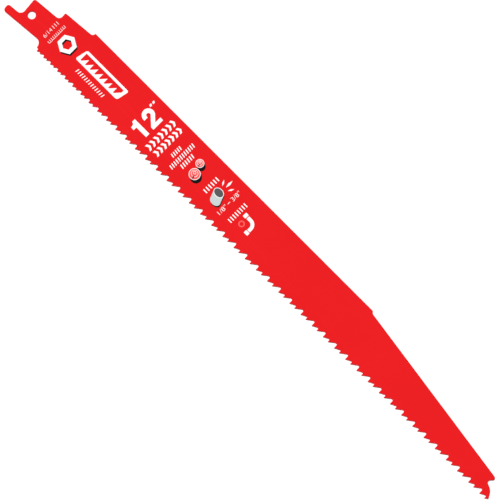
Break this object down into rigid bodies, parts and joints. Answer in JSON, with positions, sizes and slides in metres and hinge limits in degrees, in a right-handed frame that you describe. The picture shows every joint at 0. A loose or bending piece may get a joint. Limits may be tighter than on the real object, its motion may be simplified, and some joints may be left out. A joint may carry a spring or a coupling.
{
  "type": "reciprocating saw blade",
  "caption": "Long reciprocating saw blade with a canted tang, a tapered back, a slotted nose and set teeth whose pitch grows away from the tang.",
  "frame": {"origin": "centre of the tang hole at mid thickness", "axes": "+X along the tooth line towards the nose, +Y towards the back of the blade, +Z out of its face along the tang hole"},
  "size_m": [0.3053, 0.0238, 0.0016],
  "materials": {
    "red_coating": "smooth satin coating over steel strip",
    "white_ink": "printed ink film",
    "black_ink": "printed ink film"
  },
  "bodies": {
    "root": {"blade": "red_coating"}
  },
  "joints": []
}
